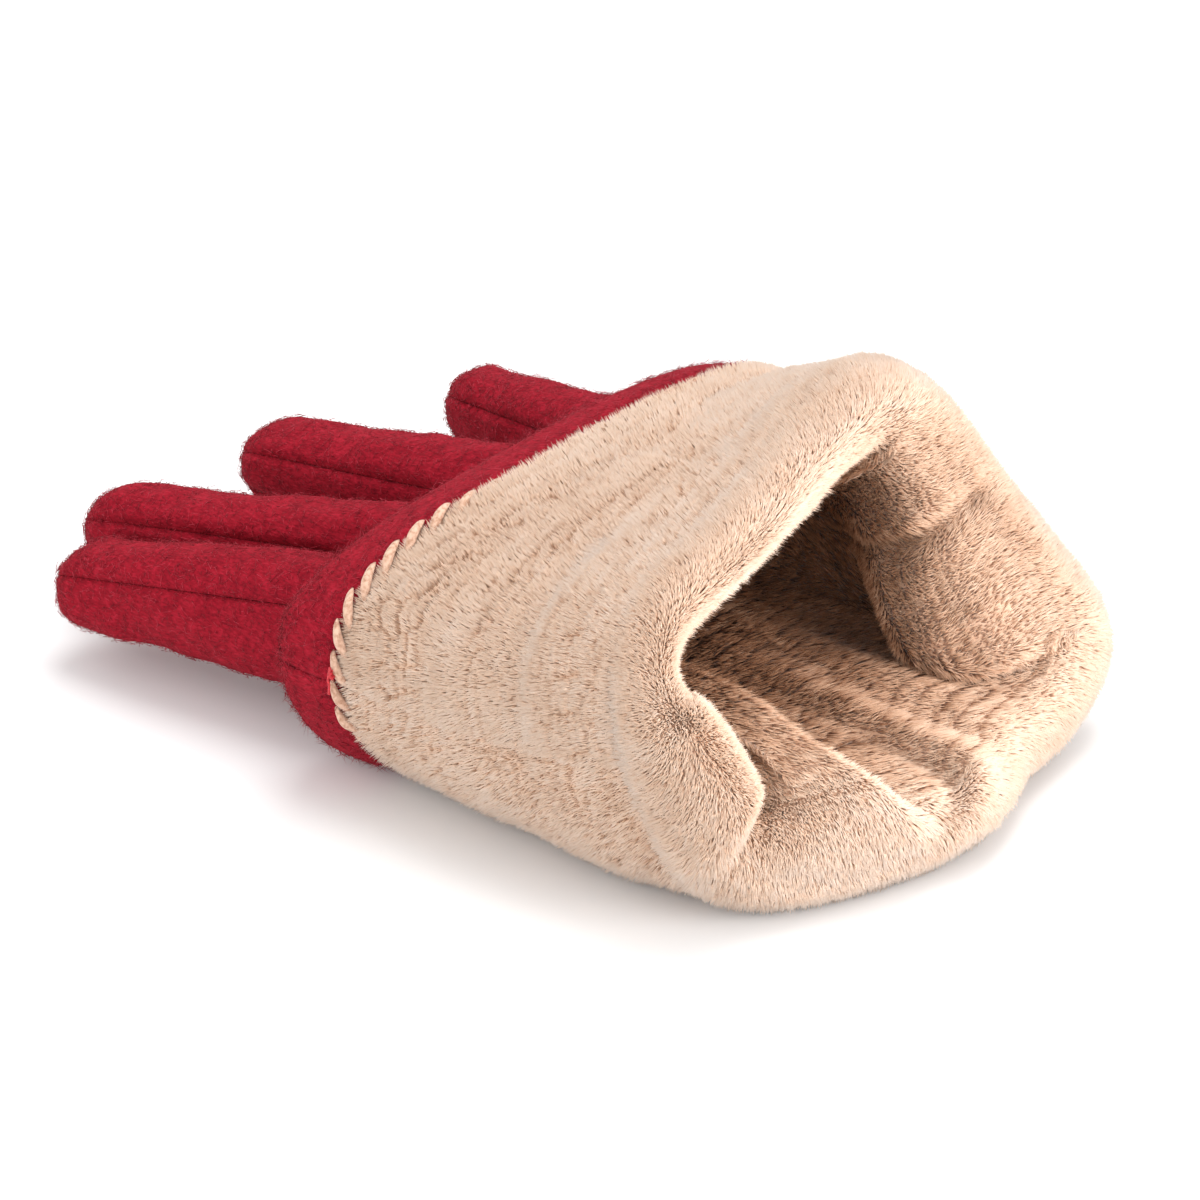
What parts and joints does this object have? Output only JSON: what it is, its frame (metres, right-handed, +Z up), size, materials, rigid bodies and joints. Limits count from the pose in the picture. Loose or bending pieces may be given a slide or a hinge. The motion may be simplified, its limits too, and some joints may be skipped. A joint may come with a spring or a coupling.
{
  "type": "plush-lined wool glove",
  "caption": "Full-finger felted wool glove with a plush lining, lying palm down with its cuff turned inside out over the hand.",
  "frame": {"origin": "middle of the bounding box on the plane the glove lies on", "axes": "+Y from the mouth of the glove towards the fingertips, +X from the index finger towards the little finger, +Z up, out of the back of the hand"},
  "size_m": [0.1124, 0.178, 0.0671],
  "materials": {
    "felted_wool": "felted, matt",
    "plush_lining": "soft pile, matt",
    "stitching_yarn": "twisted yarn, matt",
    "hem_thread": "sewing thread"
  },
  "bodies": {
    "hand": {"plush_back": "plush_lining", "plush_palm": "plush_lining", "wool_back": "felted_wool", "wool_palm": "felted_wool", "hem_back": "felted_wool", "hem_palm": "felted_wool", "hem_stitches": "stitching_yarn", "thread_end": "hem_thread", "thumb_back": "felted_wool", "thumb_palm": "felted_wool", "thumb_lining": "plush_lining"},
    "index": {"index_back": "felted_wool", "index_palm": "felted_wool", "index_inner_side": "felted_wool", "index_lining": "plush_lining"},
    "middle": {"middle_back": "felted_wool", "middle_palm": "felted_wool", "middle_outer_side": "felted_wool", "middle_inner_side": "felted_wool", "middle_lining": "plush_lining"},
    "ring": {"ring_back": "felted_wool", "ring_palm": "felted_wool", "ring_outer_side": "felted_wool", "ring_inner_side": "felted_wool", "ring_lining": "plush_lining"},
    "little": {"little_back": "felted_wool", "little_palm": "felted_wool", "little_outer_side": "felted_wool", "little_lining": "plush_lining"}
  },
  "joints": [
    {"name": "index_bend", "type": "hinge", "parent": "hand", "child": "index", "pos_m": [-0.03319, 0.01798, 0.00756], "axis": [-0.9832, -0.1824, 0], "range_deg": [-4, 75], "stiffness_Nm_per_rad": 0.08},
    {"name": "middle_bend", "type": "hinge", "parent": "hand", "child": "middle", "pos_m": [-0.01169, 0.01348, 0.00906], "axis": [-0.9756, -0.2197, 0], "range_deg": [-4, 75], "stiffness_Nm_per_rad": 0.08},
    {"name": "ring_bend", "type": "hinge", "parent": "hand", "child": "ring", "pos_m": [0.00981, 0.00948, 0.01206], "axis": [-0.9981, -0.0619, 0], "range_deg": [-4, 75], "stiffness_Nm_per_rad": 0.08},
    {"name": "little_bend", "type": "hinge", "parent": "hand", "child": "little", "pos_m": [0.02981, 0.00548, 0.01606], "axis": [-0.9716, 0.2368, 0], "range_deg": [-4, 75], "stiffness_Nm_per_rad": 0.08}
  ]
}
